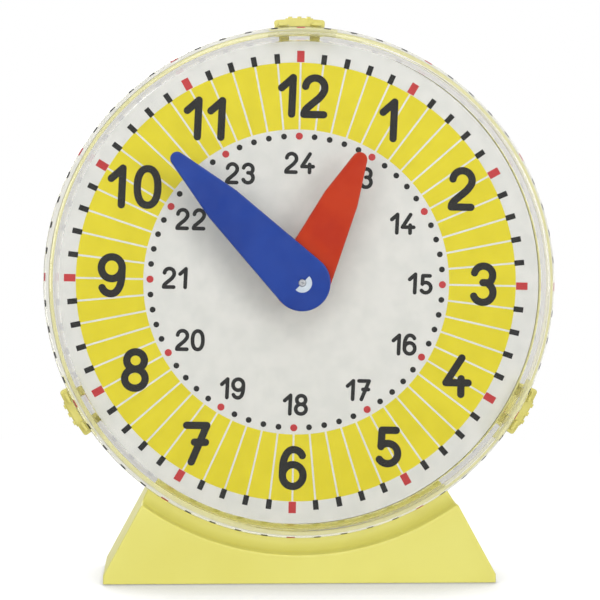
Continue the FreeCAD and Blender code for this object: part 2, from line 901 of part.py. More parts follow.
def make_gears():
    """Meshing pairs: on the line of centres a tooth of one gear points into a gap of the other."""
    front = number("front_gears_front")
    front_thick = number("front_gears_back") - front
    rear = number("rear_gears_front")
    rear_thick = number("rear_gears_back") - rear
    centres = number("gear_centres")
    bore = number("stud_bore")

    minute_pinion = involute_gear(MINUTE_PINION_TEETH, number("cannon_radius"), rear, rear_thick)
    place_gear("minute_pinion", minute_pinion, 180.0)
    wheel = involute_gear(MINUTE_WHEEL_TEETH, bore, rear, rear_thick)
    wheel = lightened(wheel, WHEEL_HOLES, "wheel_hole_radius", "wheel_hole_ring", rear, rear_thick)
    place_gear("intermediate_wheel", wheel, 180.0 / MINUTE_WHEEL_TEETH, centres)

    pinion = involute_gear(HOUR_PINION_TEETH, bore, front, rear - front)
    place_gear("intermediate_pinion", pinion, 180.0 / HOUR_PINION_TEETH, centres)
    hour_wheel = involute_gear(HOUR_WHEEL_TEETH, number("pipe_radius"), front, front_thick)
    hour_wheel = lightened(
        hour_wheel, HOUR_WHEEL_HOLES, "hour_hole_radius", "hour_hole_ring", front, front_thick
    )
    place_gear("hour_wheel", hour_wheel, 180.0)


def lower_axis(body):
    """Moves a turned piece down from the clock's axis to the intermediate axis."""
    bind(body, "Placement.Base.z", "axis_height - gear_centres")


def make_intermediate_stud():
    stud = ring_body("intermediate_stud", [
        ("0", "stud_front"),
        ("stud_radius", "stud_front"),
        ("stud_radius", "clip_front"),
        ("clip_groove", "clip_front"),
        ("clip_groove", "clip_front + clip_thick"),
        ("stud_radius", "clip_front + clip_thick"),
        ("stud_radius", "plate_front - stud_shoulder"),
        ("post_flange", "plate_front - stud_shoulder"),
        ("post_flange", "plate_front"),
        ("stud_radius", "plate_front"),
        ("stud_radius", "plate_front + plate_thick"),
        ("rivet_radius", "plate_front + plate_thick"),
        ("rivet_radius", "plate_front + plate_thick + rivet_thick"),
        ("0", "plate_front + plate_thick + rivet_thick"),
    ])
    lower_axis(stud)
    clip = new_body("stud_circlip")
    revolve(clip, "ring", [
        ("clip_groove", "clip_front"),
        ("clip_radius", "clip_front"),
        ("clip_radius", "clip_front + clip_thick"),
        ("clip_groove", "clip_front + clip_thick"),
    ], CLIP_SWEEP)
    lower_axis(clip)


# Gear plate, screws and nut


def draw_cross(sketch, half_length, half_width):
    """A cross of two slots, for a screwdriver."""
    long_arm, short_arm = half_length, half_width
    corners = [
        (short_arm, long_arm),
        (short_arm, short_arm),
        (long_arm, short_arm),
        (long_arm, f"-{short_arm}"),
        (short_arm, f"-{short_arm}"),
        (short_arm, f"-{long_arm}"),
        (f"-{short_arm}", f"-{long_arm}"),
        (f"-{short_arm}", f"-{short_arm}"),
        (f"-{long_arm}", f"-{short_arm}"),
        (f"-{long_arm}", short_arm),
        (f"-{short_arm}", short_arm),
        (f"-{short_arm}", long_arm),
    ]
    draw_polygon(sketch, corners)


def make_screw_pattern(label, radius, length, head, head_thick):
    """One cross-head screw along +Y, with the underside of its head at the origin."""
    body = hidden_body(label)
    revolve(body, "turned_blank", [
        ("0", f"-{head_thick}"),
        (head, f"-{head_thick}"),
        (head, "0"),
        (radius, "0"),
        (radius, length),
        ("0", length),
    ])
    rim = ring_edges(body.Tip.Shape, head, f"-{head_thick}")
    soften(body, "head_edge", rim, f"{head_thick} / 3")
    recess = front_sketch(body, "recess_outline", f"-{head_thick}")
    draw_cross(recess, f"{head} * {CROSS_REACH}", f"{head} * {CROSS_HALF_WIDTH}")
    pocket(body, recess, "recess", f"{head_thick} * {CROSS_DEPTH}")
    return body.Shape


def copies(shape, places):
    """Separate solids: the same shape at each place."""
    solids = []
    for place in places:
        solid = shape.copy()
        solid.Placement = place.multiply(solid.Placement)
        solids.append(solid)
    return Part.makeCompound(solids)


def make_gear_plate():
    body = new_body("gear_plate")
    outline = front_sketch(body, "outline", "plate_front + plate_thick")
    draw_polygon(outline, [
        ("-plate_half_width", "plate_bottom"),
        ("plate_half_width", "plate_bottom"),
        ("plate_half_width", "plate_top"),
        ("-plate_half_width", "plate_top"),
    ])
    pad(body, outline, "plate", "plate_thick")
    side = number("plate_half_width")
    corners = edges_where(body.Tip.Shape, lambda p: (
        abs(abs(p.x) - side) < 0.01
        and min(abs(p.z - number("plate_top")), abs(p.z - number("plate_bottom"))) < 0.01
    ))
    soften(body, "plate_corners", corners, "plate_corner")
    holes = front_sketch(body, "holes_outline", "plate_front")
    draw_circle(holes, "post_radius")
    draw_circle(holes, "stud_radius", ("0", "-gear_centres"))
    for x in ("fixing_side", "-fixing_side"):
        for z in ("fixing_top", "fixing_bottom"):
            draw_circle(holes, "screw_hole", (x, z))
    pocket(body, holes, "holes", "plate_thick")


def make_fixings():
    screw = make_screw_pattern(
        "small_screw_pattern", "screw_radius", "screw_length", "screw_head", "screw_head_thick"
    )
    saddle_screw = make_screw_pattern(
        "saddle_screw_pattern",
        "saddle_screw_radius",
        "saddle_screw_length",
        "saddle_screw_head",
        "saddle_screw_head_thick",
    )
    shift = number("depth_shift")
    axis = number("axis_height")
    front = number("plate_front")
    side = number("fixing_side")
    places = [
        Placement(Vector(x, front + shift, axis + number(z)), Rotation())
        for x in (side, -side)
        for z in ("fixing_top", "fixing_bottom")
    ]
    node_from_shape("gear_plate_screws", copies(screw, places))

    upward = Rotation(BACKWARD, UP)
    places = [
        Placement(Vector(x, number(y) + shift, number("stand_bottom + screw_recess")), upward)
        for x in (number("stand_boss_side"), -number("stand_boss_side"))
        for y in ("stand_boss_front", "stand_boss_back")
    ]
    node_from_shape("stand_lid_screws", copies(screw, places))

    washer_back = number("saddle_radius + stand_wall + saddle_washer_thick")
    washer = Part.makeCylinder(number("saddle_washer_radius"), number("saddle_washer_thick"))
    washer = washer.cut(Part.makeCylinder(number("saddle_screw_hole"), number("saddle_washer_thick")))
    screw_places = []
    washer_places = []
    for side in (-1, 1):
        angle = math.radians(side * SADDLE_SCREW_ANGLE)
        outward = Vector(math.sin(angle), 0, -math.cos(angle))
        centre = Vector(0, shift + number("saddle_screw_y"), axis)
        seat = centre + outward * washer_back
        screw_places.append(Placement(seat, Rotation(BACKWARD, -outward)))
        washer_places.append(Placement(seat, Rotation(UP, -outward)))
    node_from_shape("saddle_screws", copies(saddle_screw, screw_places))
    node_from_shape("saddle_washers", copies(washer, washer_places))


def make_post_nut():
    """A hexagon nut behind the gear plate, on the centre post."""
    body = new_body("centre_post_nut")
    outline = front_sketch(body, "outline", "plate_front + plate_thick + nut_thick")
    half = "nut_half_flats"
    corners = [
        (half, f"{half} * {HEXAGON_SIDE}"),
        ("0", f"{half} * {HEXAGON_CORNER}"),
        (f"-{half}", f"{half} * {HEXAGON_SIDE}"),
        (f"-{half}", f"-{half} * {HEXAGON_SIDE}"),
        ("0", f"-{half} * {HEXAGON_CORNER}"),
        (half, f"-{half} * {HEXAGON_SIDE}"),
    ]
    draw_polygon(outline, corners)
    pad(body, outline, "hexagon", "nut_thick")
    hole = front_sketch(body, "thread_outline", "plate_front + plate_thick")
    draw_circle(hole, "post_radius")
    pocket(body, hole, "thread", "nut_thick")


# Stand


def stand_form(label, inset, bottom):
    """Solid form of the stand, or of its hollow when inset by the wall: flanks, saddle and cove."""
    body = hidden_body(label, "0")
    rear = f"stand_back - {inset}"
    front = f"stand_front + {inset}"
    side = f"stand_half_width - {inset}"
    lean = number("stand_half_width - stand_top_half_width") / number("stand_top - stand_shoulder")
    top_side = f"stand_top_half_width - {inset} * {math.hypot(1, lean):.3f}"
    outline = front_sketch(body, "outline", rear)
    draw_polygon(outline, [
        (f"-({side})", bottom),
        (side, bottom),
        (side, "stand_shoulder"),
        (top_side, "stand_top"),
        (f"-({top_side})", "stand_top"),
        (f"-({side})", "stand_shoulder"),
    ])
    pad(body, outline, "block", f"{rear} - ({front})")
    if inset == "0":
        flanks = edges_where(body.Tip.Shape, lambda p: (
            min(abs(p.y - number(front)), abs(p.y - number(rear))) < 0.01
            and abs(p.x) > number(top_side) - 0.01
        ))
        soften(body, "flank_edges", flanks, "stand_edge")

    saddle = front_sketch(body, "saddle_outline", front)
    draw_circle(saddle, f"saddle_radius + {inset}", ("0", "axis_height"))
    pocket(body, saddle, "saddle", f"{rear} - ({front})")
    cove = front_sketch(body, "cove_outline", front)
    draw_circle(cove, f"cove_radius + {inset}", ("0", "axis_height"))
    pocket(body, cove, "cove", f"cove_back + {inset} - ({front})")
    corner = ring_edges_at(body.Tip.Shape, f"cove_radius + {inset}", f"cove_back + {inset}")
    soften(body, "cove_sweep", corner, "cove_round")
    return body


def ring_edges_at(shape, radius, depth):
    """Names of the arcs about the clock's axis, in the stand's frame."""
    lowered = shape.copy()
    lowered.translate(Vector(0, 0, -number("axis_height")))
    return ring_edges(lowered, radius, depth)


def make_stand_shell():
    """Hollow stand: the solid form less its inset form, with screw bosses on the inside."""
    outer = stand_form("stand_outer_form", "0", "stand_bottom")
    lip = ring_edges_at(outer.Tip.Shape, "cove_radius", "stand_front")
    soften(outer, "cove_lip", lip, "stand_edge")
    inner = stand_form("stand_inner_form", "stand_wall", "stand_bottom - 1")
    shell = outer.Shape.cut(inner.Shape)

    lid_top = number("stand_bottom") + number("lid_thick")
    for x in (number("stand_boss_side"), -number("stand_boss_side")):
        for y, wall in (
            (number("stand_boss_front"), number("stand_front + stand_wall")),
            (number("stand_boss_back"), number("stand_back - stand_wall")),
        ):
            height = number("stand_boss_top") - lid_top
            boss = Part.makeCylinder(number("boss_radius"), height, Vector(x, y, lid_top))
            middle = (y + wall) / 2
            reach = abs(wall - y) / 2 + number("overlap")
            web = Part.makeBox(number("stand_web"), 2 * reach, height)
            web.translate(Vector(x - number("stand_web") / 2, middle - reach, lid_top))
            depth = number("screw_length + 2")
            pilot = Part.makeCylinder(number("pilot_radius"), depth, Vector(x, y, lid_top - 1))
            shell = shell.fuse(boss).fuse(web).cut(pilot)
    for side in (-1, 1):
        angle = math.radians(side * SADDLE_SCREW_ANGLE)
        outward = Vector(math.sin(angle), 0, -math.cos(angle))
        centre = Vector(0, number("saddle_screw_y"), number("axis_height"))
        start = centre + outward * number("saddle_radius - stand_wall")
        length = number("stand_wall * 3")
        shell = shell.cut(Part.makeCylinder(number("saddle_screw_hole"), length, start, outward))
    shell = shell.removeSplitter()
    shell.translate(Vector(0, number("depth_shift"), 0))
    node_from_shape("stand_shell", shell)


def make_stand_lid():
    """Plate that closes the stand from below, let in flush, with sunk screw heads and pad seats."""
    body = new_body("stand_base_plate", "0")
    outline = new_sketch(body, "outline", "XY_Plane")
    bind(outline, "AttachmentOffset.Base.z", "stand_bottom")
    side = "stand_half_width - stand_wall - lid_gap"
    front = "stand_front + stand_wall + lid_gap"
    rear = "stand_back - stand_wall - lid_gap"
    draw_polygon(outline, [(f"-({side})", front), (side, front), (side, rear), (f"-({side})", rear)])
    pad(body, outline, "plate", "lid_thick")
    screws = new_sketch(body, "screw_outline", "XY_Plane")
    bind(screws, "AttachmentOffset.Base.z", "stand_bottom + lid_thick")
    heads = new_sketch(body, "head_outline", "XY_Plane")
    bind(heads, "AttachmentOffset.Base.z", "stand_bottom + screw_recess")
    for x in ("stand_boss_side", "-stand_boss_side"):
        for y in ("stand_boss_front", "stand_boss_back"):
            draw_circle(screws, "screw_hole", (x, y))
            draw_circle(heads, "screw_head + screw_seat_play", (x, y))
    pocket(body, screws, "screw_holes", "lid_thick")
    pocket(body, heads, "head_seats", "screw_recess")
    seats = new_sketch(body, "pad_outline", "XY_Plane")
    bind(seats, "AttachmentOffset.Base.z", "stand_bottom + pad_recess")
    for x in ("pad_side", "-pad_side"):
        for y in ("pad_front", "pad_back"):
            draw_circle(seats, "pad_radius + pad_play", (x, y))
    pocket(body, seats, "pad_seats", "pad_recess")


def make_foot_pads():
    disc = Part.makeCylinder(number("pad_radius"), number("pad_thick"))
    rim = [edge for edge in disc.Edges if isinstance(edge.Curve, Part.Circle)]
    bottom = [edge for edge in rim if edge.Curve.Center.z < 0.01]
    disc = disc.makeFillet(number("pad_edge"), bottom)
    shift = number("depth_shift")
    places = [
        Placement(Vector(x, number(y) + shift, 0), Rotation())
        for x in (number("pad_side"), -number("pad_side"))
        for y in ("pad_front", "pad_back")
    ]
    node_from_shape("foot_pads", copies(disc, places))


# Build, check and write

make_back_shell()
make_front_cover()
make_dial_tray()
make_dial_card()
for label, around in (("catch_top", 90), ("catch_lower_left", 210), ("catch_lower_right", 330)):
    make_catch(label, around)
make_minute_hand()
make_hour_hand()
make_minute_cannon()
make_arbors()
make_gears()
make_intermediate_stud()
make_gear_plate()
make_fixings()
make_post_nut()
make_stand_shell()
make_stand_lid()
make_foot_pads()
doc.recompute()

for thing in doc.Objects:
    if "Invalid" in thing.State or "Error" in thing.State:
        raise RuntimeError(f"{thing.Label} failed: {thing.State}")
os.makedirs("parts", exist_ok=True)
for piece in nodes:
    shape = piece.Shape
    if shape.isNull() or not shape.isValid():
        raise RuntimeError(f"{piece.Label} has no valid shape")
for piece in nodes:
    shape = piece.Shape
    shape.exportStep(os.path.join("parts", piece.Label + ".step"))
    print(f"{piece.Label}: {len(shape.Solids)} solids, {shape.Volume / 1000:.2f} cm3")
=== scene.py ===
import json
import math

import bmesh
import bpy
import numpy as np
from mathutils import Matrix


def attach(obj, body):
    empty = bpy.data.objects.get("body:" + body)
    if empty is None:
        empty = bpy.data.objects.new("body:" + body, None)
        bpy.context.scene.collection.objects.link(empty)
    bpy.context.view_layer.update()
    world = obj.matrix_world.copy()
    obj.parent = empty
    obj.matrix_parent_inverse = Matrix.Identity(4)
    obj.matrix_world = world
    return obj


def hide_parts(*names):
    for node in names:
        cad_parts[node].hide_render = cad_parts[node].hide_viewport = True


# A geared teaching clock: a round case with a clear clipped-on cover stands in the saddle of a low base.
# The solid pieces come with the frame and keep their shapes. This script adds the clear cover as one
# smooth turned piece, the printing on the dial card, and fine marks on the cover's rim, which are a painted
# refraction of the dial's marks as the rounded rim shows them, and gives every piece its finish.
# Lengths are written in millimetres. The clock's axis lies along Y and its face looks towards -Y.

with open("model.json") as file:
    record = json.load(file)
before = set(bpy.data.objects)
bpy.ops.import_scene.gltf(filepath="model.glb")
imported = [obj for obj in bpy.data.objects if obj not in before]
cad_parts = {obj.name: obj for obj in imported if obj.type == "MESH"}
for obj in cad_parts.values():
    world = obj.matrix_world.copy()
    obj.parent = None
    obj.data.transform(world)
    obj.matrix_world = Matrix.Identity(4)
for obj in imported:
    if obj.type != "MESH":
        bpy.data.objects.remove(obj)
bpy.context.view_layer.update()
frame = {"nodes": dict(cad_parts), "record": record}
nodes = frame["nodes"]
scene = bpy.context.scene

MM = 0.001
AXIS_HEIGHT = 183.0
CARD_FRONT = -5.1


# Shapes

def grid_faces(rows, columns, round_rows, round_columns):
    """Four-cornered faces between neighbours of a grid of points that is numbered row by row.
    A grid that runs round joins its last row or column to its first."""
    i = np.arange(rows if round_rows else rows - 1)[:, None]
    j = np.arange(columns if round_columns else columns - 1)[None, :]
    down, right = (i + 1) % rows, (j + 1) % columns
    corners = [i * columns + j, down * columns + j, down * columns + right, i * columns + right]
    return np.stack(corners, axis=-1)


def make_piece(name, points, faces, finish, crease=None):
    """A piece of the case from points in millimetres and faces. Faces are turned to point outwards.
    With a crease angle the surface is smooth except where it bends by more than that."""
    mesh = bpy.data.meshes.new(name)
    mesh.from_pydata((np.asarray(points) * MM).tolist(), [], np.asarray(faces).tolist())
    work = bmesh.new()
    work.from_mesh(mesh)
    bmesh.ops.recalc_face_normals(work, faces=work.faces)
    work.to_mesh(mesh)
    work.free()
    if crease is not None:
        mesh.shade_smooth()
        mesh.set_sharp_from_angle(angle=math.radians(crease))
    mesh.materials.append(finish)
    piece = bpy.data.objects.new(name, mesh)
    scene.collection.objects.link(piece)
    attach(piece, "case_and_stand")
    return piece


def arc(x, y, across, up, start, end, steps, power=2.0):
    """Points of an ellipse from one angle to another, in degrees. A power over 2 squares it off:
    x is the cosine and y the sine, each with its size raised to 2 / power."""
    turn = np.radians(np.linspace(start, end, steps, endpoint=abs(end - start) < 360))
    cos, sin = np.cos(turn), np.sin(turn)
    bend = 2 / power
    return np.column_stack([
        x + across * np.sign(cos) * np.abs(cos) ** bend,
        y + up * np.sign(sin) * np.abs(sin) ** bend,
    ])


def smooth_line(points, steps):
    """A smooth line through points, with so many steps from each to the next. Between two of them it
    is the cubic whose slope at each point is half of the way from the point before it to the one after."""
    p = np.asarray(points, float)
    before = np.vstack([2 * p[:1] - p[1:2], p[:-1]])
    after = np.vstack([p[1:], 2 * p[-1:] - p[-2:-1]])
    slope = (after - before) / 2
    t = np.linspace(0, 1, steps, endpoint=False)[None, :, None]
    line = (
        (2 * t ** 3 - 3 * t ** 2 + 1) * p[:-1, None]
        + (t ** 3 - 2 * t ** 2 + t) * slope[:-1, None]
        + (3 * t ** 2 - 2 * t ** 3) * p[1:, None]
        + (t ** 3 - t ** 2) * slope[1:, None]
    )
    return np.vstack([line.reshape(-1, 2), p[-1:]])


# Clear cover

# Section of the cover as (radius, depth). A flat window ends in a front edge that is a quarter of an
# ellipse. Behind the window's edge a bead slopes back to the skirt, which reaches over the shell.
COVER_HOLE = 10.5
WINDOW_RINGS = (60, 110)
WINDOW_FRONT = -22.1
WINDOW_FRONT_EDGE = 149.2
WINDOW_BACK = -20.1
WINDOW_BACK_EDGE = 145.2
RIM_CENTRE = (149.5, -13.7)
RIM_SIZE = (6.1, 8.4)
RIM_STEPS = 29
BEAD_FOOT = 145.6
BEAD_TOP = 149.6
BEAD_TOP_DEPTHS = (-15.0, -16.1)
SKIRT_OUTSIDE = 154.6
SKIRT_INSIDE = 152.9
SKIRT_END = -4.1

# Two slots in the skirt for the prongs of each catch, as angles in degrees and depths.
SKIRT_SLOT_FRONT = -13.4
SKIRT_SLOT_BACK = -9.2
CATCH_TURNS = (0, 120, 240)
PRONG_ANGLES = (85.6, 92.8)
SLOT_MIDDLES = np.array([turn + prong for turn in CATCH_TURNS for prong in PRONG_ANGLES])
SLOT_HALF = 2.2

# Degrees between neighbouring columns of the lathe, and how near to a slot's end none is set.
COLUMN_STEP = 0.5
COLUMN_GAP = 0.2


def cover_section():
    """The closed outline of the cover, from the hole over the front to the skirt and back inside."""
    front = [(radius, WINDOW_FRONT) for radius in (COVER_HOLE, *WINDOW_RINGS, WINDOW_FRONT_EDGE)]
    rim = arc(*RIM_CENTRE, RIM_SIZE[0], -RIM_SIZE[1], 90, 0, RIM_STEPS)
    outer_depths = (RIM_CENTRE[1], SKIRT_SLOT_FRONT, SKIRT_SLOT_BACK, SKIRT_END)
    inner_depths = (SKIRT_END, SKIRT_SLOT_BACK, SKIRT_SLOT_FRONT, BEAD_TOP_DEPTHS[0])
    skirt = [(SKIRT_OUTSIDE, depth) for depth in outer_depths]
    skirt += [(SKIRT_INSIDE, depth) for depth in inner_depths]
    bead = [(BEAD_TOP, depth) for depth in BEAD_TOP_DEPTHS] + [(BEAD_FOOT, WINDOW_BACK)]
    back = [(radius, WINDOW_BACK) for radius in (WINDOW_BACK_EDGE, *WINDOW_RINGS[::-1], COVER_HOLE)]
    return np.vstack([front, rim, skirt, bead, back])


def cover(finish):
    """A lathe: each point of the section goes round the axis, to radius times cosine and sine of the
    angle. The faces of both skirt walls that lie within a slot's angles and depths are left out, and
    the slot's four sides join the walls."""
    section = cover_section()
    ends = np.concatenate([SLOT_MIDDLES - SLOT_HALF, SLOT_MIDDLES + SLOT_HALF]) % 360
    angles = np.arange(0, 360, COLUMN_STEP)
    near = np.abs(angles[:, None] - ends).min(axis=1) < COLUMN_GAP
    angles = np.sort(np.concatenate([angles[~near], ends]))
    turn = np.radians(angles)[:, None]
    radius, depth = section[:, 0], section[:, 1]
    points = np.stack([
        radius * np.cos(turn),
        np.broadcast_to(depth, (len(angles), len(section))),
        AXIS_HEIGHT + radius * np.sin(turn),
    ], axis=-1).reshape(-1, 3)
    faces = grid_faces(len(angles), len(section), True, True)
    middle = (angles + (np.roll(angles, -1) - angles) % 360 / 2) % 360
    away = np.abs((middle[:, None] - SLOT_MIDDLES + 180) % 360 - 180).min(axis=1)
    in_slot = away < SLOT_HALF
    outer = int(np.flatnonzero((radius == SKIRT_OUTSIDE) & (depth == SKIRT_SLOT_FRONT))[0])
    inner = int(np.flatnonzero((radius == SKIRT_INSIDE) & (depth == SKIRT_SLOT_BACK))[0])
    kept = np.ones(faces.shape[:2], bool)
    kept[in_slot, outer] = False
    kept[in_slot, inner] = False
    i = np.flatnonzero(in_slot) * len(section)
    k = (np.flatnonzero(in_slot) + 1) % len(angles) * len(section)
    front = np.stack([i + outer, k + outer, k + inner + 1, i + inner + 1], axis=-1)
    back = np.stack([i + outer + 1, k + outer + 1, k + inner, i + inner], axis=-1)
    at_end = np.flatnonzero(in_slot != np.roll(in_slot, 1)) * len(section)
    sides = np.stack([at_end + outer, at_end + outer + 1, at_end + inner, at_end + inner + 1], axis=-1)
    piece = make_piece(
        "clear_front_cover_turned", points, np.vstack([faces[kept], front, back, sides]),
        finish, crease=25,
    )
    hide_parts("clear_front_cover")


# Printing on the dial

# The print sits a little left of the axis and is turned a little, as the card lies in the case. Its
# rings of lines and dots are a touch less high than wide.
PRINT_SHIFT = -0.9
PRINT_TURN = 1.1
RING_HEIGHT = 0.9957
PER_MINUTE = np.radians(90 - 6 * np.arange(60))
IS_HOUR = np.arange(60) % 5 == 0
MINUTES = PER_MINUTE[~IS_HOUR]
HOURS = PER_MINUTE[IS_HOUR]

# Rings as radii. A mark is (inner radius, outer radius, width), and a dot is its own radius.
FIELD_RING = (94.3, 135.7)
FIELD_GAP = 1.15
MINUTE_MARK = (135.3, 141.4, 3.4)
HOUR_MARK = (135.9, 143.0, 4.6)
DOT_RING = 90.2
MINUTE_DOT = 1.8
HOUR_DOT = 2.2

# Height of the numerals and width of the pen that draws them.
LARGE_NUMERAL = (27.1, 4.6)
SMALL_NUMERAL = (13.7, 2.35)
PEN_END_STEPS = 7

# How far ink is sunk in the card and lifted over it. What overlaps something lies higher.
INK_SINK = 0.05
FIELD_LIFT = 0.02
MARK_LIFT = 0.05
NUMERAL_LIFT = 0.06
INK_STEP = 0.006
INK_STEP_COUNT = 4


def bar_faces(steps, runs_round):
    """Faces of a bar with four corners at each step. One that doesn't run round has capped ends."""
    shell = grid_faces(steps, 4, runs_round, True).reshape(-1, 4)
    if runs_round:
        return shell
    last = 4 * steps - 4
    return np.vstack([shell, [[3, 2, 1, 0], [last, last + 1, last + 2, last + 3]]])


def ink(name, bars, lift, finish, height=1.0):
    """Ink as thin bars on the card. A bar is (left edge, right edge, runs round), and each point of
    its edges gives two corners of a section, one sunk in the card and one lifted over it. Neighbours
    differ a little in height, so no two faces share a plane. A height scales the bars upwards."""
    points, faces, count = [], [], 0
    turn = math.radians(PRINT_TURN)
    for number, (left, right, runs_round) in enumerate(bars):
        flat = np.stack([left, right, right, left], axis=1) * (1, height)
        sunk = CARD_FRONT + INK_SINK
        front = CARD_FRONT - lift - number % INK_STEP_COUNT * INK_STEP
        depth = np.broadcast_to([sunk, sunk, front, front], flat.shape[:2])
        x = flat[..., 0] * math.cos(turn) + flat[..., 1] * math.sin(turn) + PRINT_SHIFT
        z = flat[..., 1] * math.cos(turn) - flat[..., 0] * math.sin(turn) + AXIS_HEIGHT
        points.append(np.stack([x, depth, z], axis=-1).reshape(-1, 3))
        faces.append(bar_faces(len(left), runs_round) + count)
        count += 4 * len(left)
    make_piece(name, np.vstack(points), np.vstack(faces), finish)


def around(angles, radius, sideways=0.0):
    """Points at a radius in the direction of each angle, moved sideways along the circle."""
    out = np.column_stack([np.cos(angles), np.sin(angles)])
    side = np.column_stack([-out[:, 1], out[:, 0]])
    return out * radius + side * sideways


def marks(angles, inner, outer, width):
    """Straight marks that point to the centre: both edges run from the inner to the outer radius."""
    left = np.stack([around(angles, inner, width / 2), around(angles, outer, width / 2)], axis=1)
    right = np.stack([around(angles, inner, -width / 2), around(angles, outer, -width / 2)], axis=1)
    return [(a, b, False) for a, b in zip(left, right)]


def fields(inner, outer, gap):
    """Sixty fields of a ring between the minute lines. At each radius a field starts half of the gap
    after one line and ends half of the gap before the next, so the gaps have parallel sides."""
    share = np.linspace(0, 1, 7)[None, :]
    edges = []
    for radius in (inner, outer):
        half_gap = math.asin(gap / 2 / radius)
        turn = PER_MINUTE[:, None] - half_gap - share * (math.radians(6) - 2 * half_gap)
        edges.append(np.stack([radius * np.cos(turn), radius * np.sin(turn)], axis=-1))
    return [(a, b, False) for a, b in zip(*edges)]


def dots(angles, ring, radius):
    """Round dots: a bar through the middle whose half width follows a circle, in 15 steps from 6
    degrees round to 174, so that its ends are short and not points."""
    turn = np.radians(np.linspace(6, 174, 15))[:, None]
    middles = around(angles, ring)
    left, right = ([radius * -np.cos(turn), side * radius * np.sin(turn)] for side in (1, -1))
    left, right = np.hstack(left), np.hstack(right)
    return [(middle + left, middle + right, False) for middle in middles]


def stroke(path, width, runs_round):
    """A pen line: its edges lie half of the width to each side of the path. The ends of an open line
    are round, with a half width that falls off as a circle does."""
    path = np.asarray(path, float)
    if runs_round:
        along = np.roll(path, -1, axis=0) - np.roll(path, 1, axis=0)
    else:
        along = np.gradient(path, axis=0)
    along /= np.linalg.norm(along, axis=1, keepdims=True)
    side = np.column_stack([-along[:, 1], along[:, 0]])
    half = np.full((len(path), 1), width / 2)
    if not runs_round:
        turn = np.radians(np.linspace(5, 90, PEN_END_STEPS))[:, None]
        reach, thin = width / 2 * np.cos(turn), width / 2 * np.sin(turn)
        path = np.vstack([path[0] - along[0] * reach, path[1:-1], path[-1] + along[-1] * reach[::-1]])
        first, last = (np.repeat(end, PEN_END_STEPS, 0) for end in (side[:1], side[-1:]))
        side = np.vstack([first, side[1:-1], last])
        half = np.vstack([thin, half[1:-1], thin[::-1]])
    return path + side * half, path - side * half, runs_round


# Pen paths of the digits on a body one unit tall. Each entry is (points, runs round).
SIX_BACK = smooth_line(np.vstack([
    arc(0.01, 0.75, 0.262, 0.257, 22, 84, 5),
    arc(0.01, 0.45, 0.29, 0.557, 97, 178, 8, 2.15),
    [(-0.284, 0.30)],
]), 4)
SIX_BOWL = arc(0, 0.298, 0.284, 0.298, 0, 360, 36)
HALF_TURN = np.array([-1.0, -1.0])
DIGITS = {
    "0": [(arc(0, 0.5, 0.281, 0.499, 0, 360, 48, 2.25), True)],
    "1": [([(0, 0), (0.028, 1)], False), ([(0.028, 0.995), (-0.285, 0.715)], False)],
    "2": [
        (smooth_line(np.vstack([
            arc(0.01, 0.735, 0.265, 0.265, 173, -28, 11),
            [(0.13, 0.4575), (-0.045, 0.3075), (-0.21, 0.1625), (-0.272, 0.07), (-0.285, 0)],
        ]), 4), False),
        ([(-0.285, 0), (0.255, 0)], False),
    ],
    "3": [
        (arc(0, 0.74, 0.255, 0.255, 165, -50, 24), False),
        ([(-0.01, 0.54), (0.16, 0.537)], False),
        (arc(-0.005, 0.272, 0.275, 0.272, 53, -157, 26), False),
    ],
    "4": [
        ([(0.128, 1), (-0.30, 0.316)], False),
        ([(-0.30, 0.316), (0.31, 0.316)], False),
        ([(0.115, 0.43), (0.115, 0)], False),
    ],
    "5": [
        ([(-0.172, 0.924), (0.215, 0.924)], False),
        ([(-0.172, 0.924), (-0.195, 0.473)], False),
        (arc(-0.01, 0.284, 0.277, 0.277, 133, -145, 30), False),
    ],
    "6": [(SIX_BACK, False), (SIX_BOWL, True)],
    "7": [
        ([(-0.278, 1), (0.272, 1)], False),
        ([(0.272, 1), (-0.135, 0)], False),
        ([(-0.057, 0.542), (0.244, 0.542)], False),
    ],
    "8": [
        (arc(0.005, 0.758, 0.241, 0.235, 0, 360, 36), True),
        (arc(-0.005, 0.262, 0.281, 0.262, 0, 360, 36), True),
    ],
    "9": [
        (SIX_BACK * HALF_TURN + [0, 1], False),
        (SIX_BOWL * HALF_TURN + [0, 1], True),
    ],
}


def numeral(text, middle, height, pen, width):
    """The bars of one numeral. Its digits are set side by side so that the whole is as wide as asked,
    and the middle of its box goes to the given place."""
    size = height - pen
    paths = [[(np.asarray(points) * size, turned) for points, turned in DIGITS[digit]] for digit in text]
    across = [np.vstack([points for points, _ in strokes])[:, 0] for strokes in paths]
    lows, highs = [line.min() for line in across], [line.max() for line in across]
    if len(text) == 1:
        starts = [-(lows[0] + highs[0]) / 2]
    else:
        starts = [-(width - pen) / 2 - lows[0], (width - pen) / 2 - highs[1]]
    shift = np.array([middle[0], middle[1] - size / 2])
    return [
        stroke(points + shift + [start, 0], pen, turned)
        for strokes, start in zip(paths, starts)
        for points, turned in strokes
    ]


